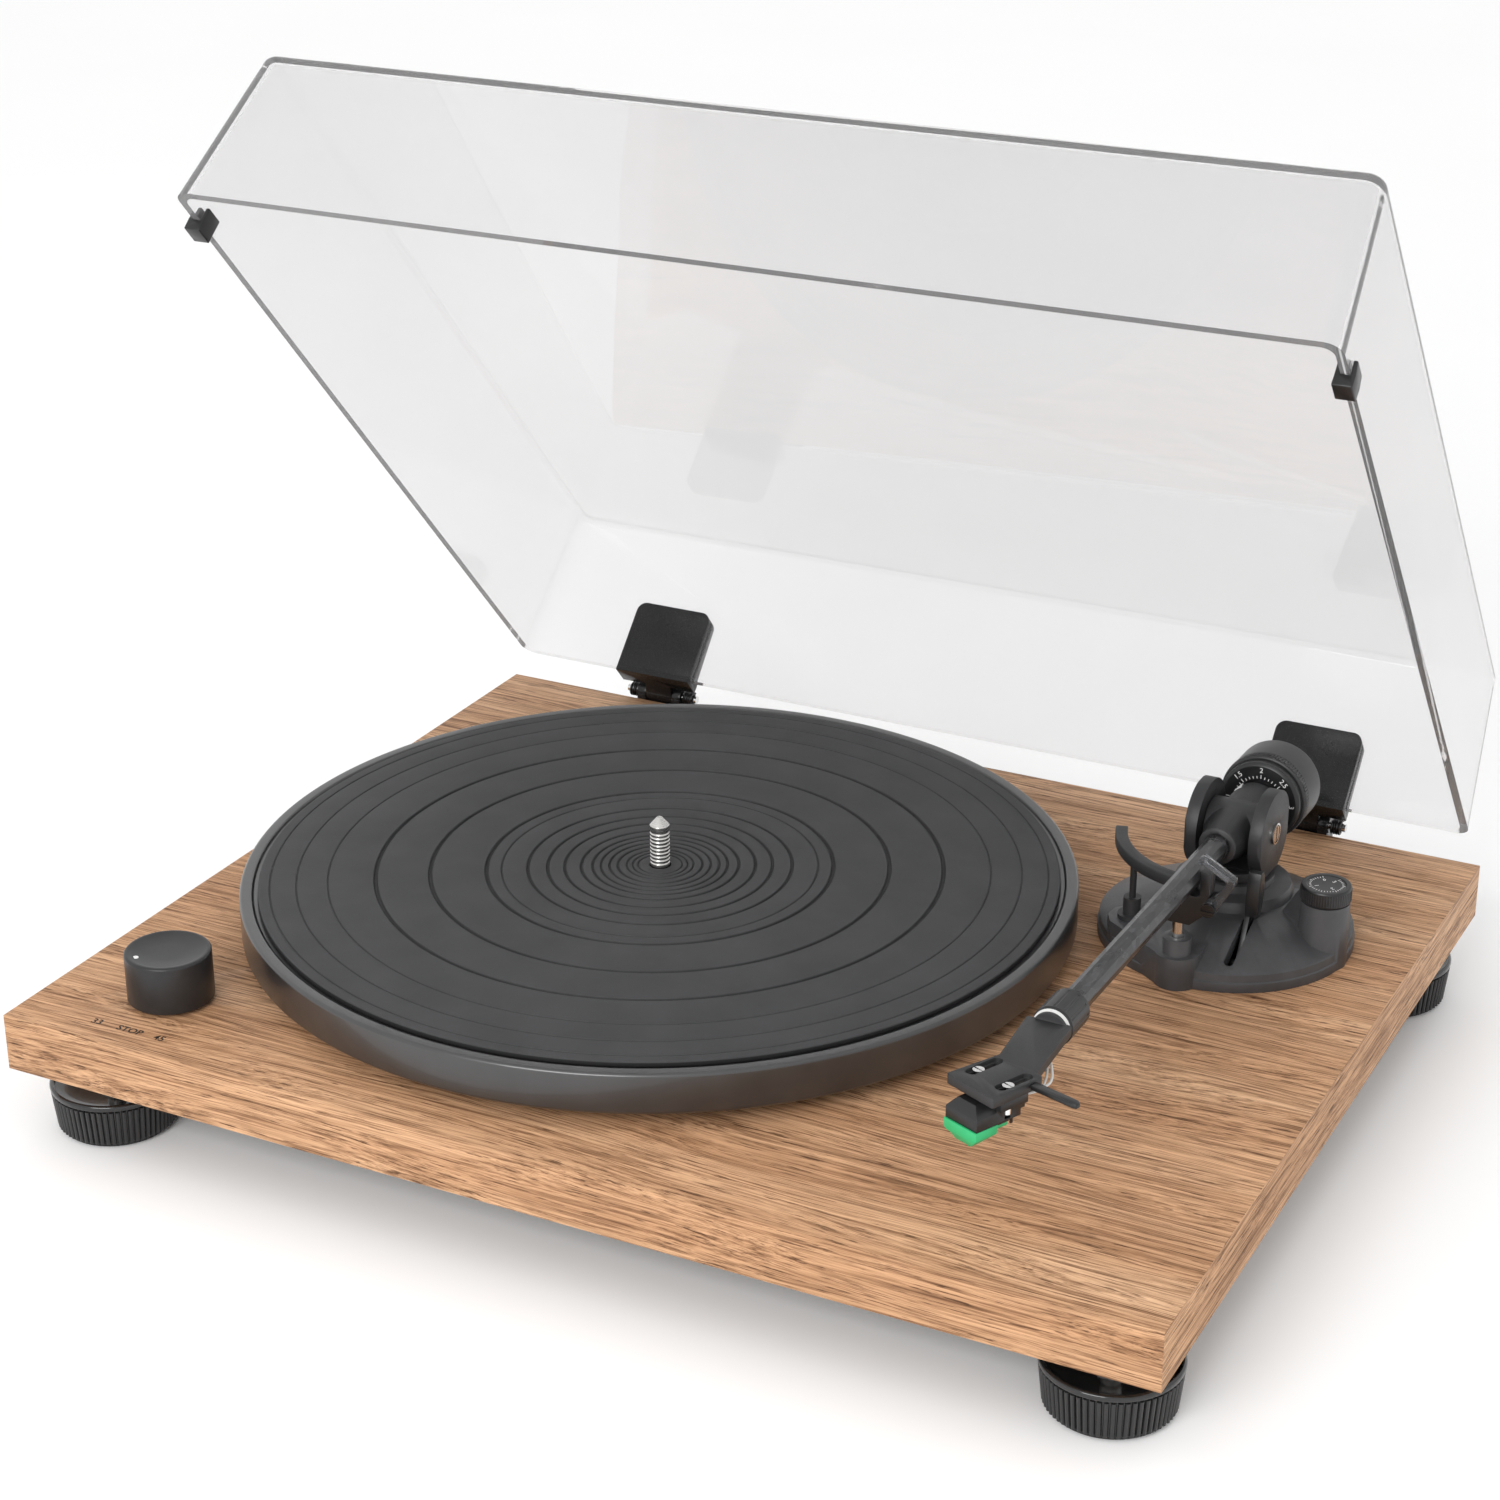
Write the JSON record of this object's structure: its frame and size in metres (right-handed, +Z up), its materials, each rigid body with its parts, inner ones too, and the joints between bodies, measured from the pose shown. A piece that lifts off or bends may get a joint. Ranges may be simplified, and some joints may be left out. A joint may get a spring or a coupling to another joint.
{
  "type": "turntable record player",
  "caption": "Belt-driven turntable with a veneered plinth, black platter, straight carbon-fibre tonearm and a hinged clear dust cover.",
  "frame": {"origin": "middle of the whole object on the standing surface, with the cover open as at rest", "axes": "+X to the right seen from the front, +Y to the back, +Z up"},
  "size_m": [0.42, 0.3822, 0.3445],
  "materials": {
    "plinth": "open-grain veneer, satin",
    "bottom_cover": "moulded, fine texture",
    "chassis_screws": "blackened steel",
    "bearing_housing": "turned",
    "bearing_bushes": "sintered bronze",
    "thrust_ball": "polished steel",
    "drive_belt": "ground flat belt",
    "motor_can": "zinc plated",
    "motor_plate": "zinc plated",
    "motor_grommets": "soft",
    "circuit_board": "green solder mask",
    "board_parts": "component bodies",
    "speed_switch": "moulded",
    "rear_panel": "fine texture",
    "rca_jacks": "nickel plated",
    "jack_inserts": "moulded",
    "hinge_bases": "moulded",
    "hinge_pins": "polished steel",
    "hinge_springs": "drawn wire",
    "arm_base": "fine matt texture",
    "arm_bearing": "turned",
    "lift_cylinder": "moulded",
    "rest_stem": "polished",
    "arm_rest": "moulded",
    "rest_screw": "blackened",
    "ground_knob": "knurled, nickel plated",
    "line_switch": "moulded",
    "spindle": "polished steel",
    "platter": "die-cast, black paint",
    "mat": "ribbed",
    "motor_pulley": "turned",
    "speed_knob": "satin black",
    "hinge_leaves": "polished moulding",
    "dust_cover": "clear acrylic",
    "cover_bumpers": "soft",
    "arm_yoke": "fine matt paint",
    "pivot_screws": "nickel plated",
    "pivot_block": "satin paint",
    "arm_tube": "carbon fibre composite",
    "headshell_collar": "moulded",
    "headshell_gasket": "white washer",
    "headshell": "black anodised",
    "finger_lift": "black anodised",
    "cartridge": "moulded",
    "stylus": "green moulding",
    "cartridge_screws": "nickel plated",
    "cartridge_leads": "white insulation",
    "weight_stub": "blackened thread",
    "weight_sleeve": "nylon",
    "counterweight": "black painted steel",
    "force_dial": "white figures",
    "lift_bar": "rubber-faced moulding",
    "cue_lever": "moulded",
    "anti_skate_dial": "white scale",
    "rest_clip": "smoky clear",
    "foot_front_left": "ribbed shell over a rubber pad",
    "foot_front_right": "ribbed shell over a rubber pad",
    "foot_rear_left": "ribbed shell over a rubber pad",
    "foot_rear_right": "ribbed shell over a rubber pad"
  },
  "bodies": {
    "chassis": {"plinth": "plinth", "bottom_cover": "bottom_cover", "chassis_screws": "chassis_screws", "bearing_housing": "bearing_housing", "bearing_bushes": "bearing_bushes", "thrust_ball": "thrust_ball", "drive_belt": "drive_belt", "motor_can": "motor_can", "motor_plate": "motor_plate", "motor_grommets": "motor_grommets", "circuit_board": "circuit_board", "board_parts": "board_parts", "speed_switch": "speed_switch", "rear_panel": "rear_panel", "rca_jacks": "rca_jacks", "jack_inserts": "jack_inserts", "hinge_bases": "hinge_bases", "hinge_pins": "hinge_pins", "hinge_springs": "hinge_springs", "arm_base": "arm_base", "arm_bearing": "arm_bearing", "lift_cylinder": "lift_cylinder", "rest_stem": "rest_stem", "arm_rest": "arm_rest", "rest_screw": "rest_screw"},
    "platter_group": {"platter": "platter", "mat": "mat", "spindle": "spindle"},
    "pulley": {"motor_pulley": "motor_pulley"},
    "knob": {"speed_knob": "speed_knob"},
    "ground_screw": {"ground_knob": "ground_knob"},
    "output_switch": {"line_switch": "line_switch"},
    "cover": {"dust_cover": "dust_cover", "hinge_leaves": "hinge_leaves", "cover_bumpers": "cover_bumpers"},
    "yoke": {"arm_yoke": "arm_yoke", "pivot_screws": "pivot_screws"},
    "tonearm": {"pivot_block": "pivot_block", "arm_tube": "arm_tube", "headshell_collar": "headshell_collar", "headshell_gasket": "headshell_gasket", "headshell": "headshell", "finger_lift": "finger_lift", "cartridge": "cartridge", "stylus": "stylus", "cartridge_screws": "cartridge_screws", "cartridge_leads": "cartridge_leads", "weight_stub": "weight_stub"},
    "sleeve": {"weight_sleeve": "weight_sleeve"},
    "weight": {"counterweight": "counterweight"},
    "dial": {"force_dial": "force_dial"},
    "lifter": {"lift_bar": "lift_bar"},
    "lever": {"cue_lever": "cue_lever"},
    "anti_skate": {"anti_skate_dial": "anti_skate_dial"},
    "clip": {"rest_clip": "rest_clip"},
    "foot_front_left_group": {"foot_front_left": "foot_front_left"},
    "foot_front_right_group": {"foot_front_right": "foot_front_right"},
    "foot_rear_left_group": {"foot_rear_left": "foot_rear_left"},
    "foot_rear_right_group": {"foot_rear_right": "foot_rear_right"}
  },
  "joints": [
    {"name": "platter_spin", "type": "hinge", "parent": "chassis", "child": "platter_group", "pos_m": [-0.0434, -0.0266, 0.058], "axis": [0, 0, -1], "continuous": true},
    {"name": "motor_spin", "type": "hinge", "parent": "chassis", "child": "pulley", "pos_m": [-0.13179, -0.11499, 0.058], "axis": [0, 0, -1], "continuous": true},
    {"name": "speed_select", "type": "hinge", "parent": "chassis", "child": "knob", "pos_m": [-0.1655, -0.1556, 0.058], "axis": [0, 0, 1], "range_deg": [0, 59]},
    {"name": "ground_turn", "type": "hinge", "parent": "chassis", "child": "ground_screw", "pos_m": [0.092, 0.1399, 0.037], "axis": [0, 1, 0], "range_deg": [0, 360]},
    {"name": "output_select", "type": "slide", "parent": "chassis", "child": "output_switch", "axis": [1, 0, 0], "range_m": [0, 0.0052]},
    {"name": "cover_hinge", "type": "hinge", "parent": "chassis", "child": "cover", "pos_m": [0, 0.1535, 0.0502], "axis": [1, 0, 0], "range_deg": [0, 48.67]},
    {"name": "arm_swing", "type": "hinge", "parent": "chassis", "child": "yoke", "pos_m": [0.143, 0.0589, 0.0885], "axis": [0, 0, -1], "range_deg": [0, 48]},
    {"name": "arm_tilt", "type": "hinge", "parent": "yoke", "child": "tonearm", "pos_m": [0.143, 0.0589, 0.0885], "axis": [-1, 0.0087, 0], "range_deg": [-1.2, 0]},
    {"name": "weight_slide", "type": "slide", "parent": "tonearm", "child": "sleeve", "axis": [0.0087, 0.9997, -0.0244], "range_m": [-0.0025, 0.006]},
    {"name": "weight_turn", "type": "hinge", "parent": "sleeve", "child": "weight", "pos_m": [0.143, 0.0589, 0.0885], "axis": [0.0087, 0.9997, -0.0244], "range_deg": [-112.5, 270]},
    {"name": "dial_turn", "type": "hinge", "parent": "weight", "child": "dial", "pos_m": [0.143, 0.0589, 0.0885], "axis": [0.0087, 0.9997, -0.0244], "range_deg": [-180, 180]},
    {"name": "lift_slide", "type": "slide", "parent": "chassis", "child": "lifter", "axis": [0, 0, 1], "range_m": [-0.0009, 0]},
    {"name": "lever_turn", "type": "hinge", "parent": "chassis", "child": "lever", "pos_m": [0.1565, 0.0279, 0.051], "axis": [1, 0, 0], "range_deg": [0, 61]},
    {"name": "anti_skate_turn", "type": "hinge", "parent": "chassis", "child": "anti_skate", "pos_m": [0.18, 0.0489, 0.068], "axis": [0, 0, 1], "range_deg": [-60, 240]},
    {"name": "clip_turn", "type": "hinge", "parent": "chassis", "child": "clip", "pos_m": [0.1526, 0.0109, 0.0825], "axis": [0, -1, 0], "range_deg": [0, 30]},
    {"name": "level_front_left", "type": "slide", "parent": "chassis", "child": "foot_front_left_group", "axis": [0, 0, -1], "range_m": [0, 0.004]},
    {"name": "level_front_right", "type": "slide", "parent": "chassis", "child": "foot_front_right_group", "axis": [0, 0, -1], "range_m": [0, 0.004]},
    {"name": "level_rear_left", "type": "slide", "parent": "chassis", "child": "foot_rear_left_group", "axis": [0, 0, -1], "range_m": [0, 0.004]},
    {"name": "level_rear_right", "type": "slide", "parent": "chassis", "child": "foot_rear_right_group", "axis": [0, 0, -1], "range_m": [0, 0.004]}
  ],
  "couplings": [
    {"joint": "motor_spin", "follows": "platter_spin", "ratio": 13.297},
    {"joint": "lift_slide", "follows": "arm_tilt", "m_per_rad": 0.0403},
    {"joint": "lever_turn", "follows": "arm_tilt", "ratio": -50},
    {"joint": "weight_turn", "follows": "weight_slide", "rad_per_m": 785.4}
  ]
}
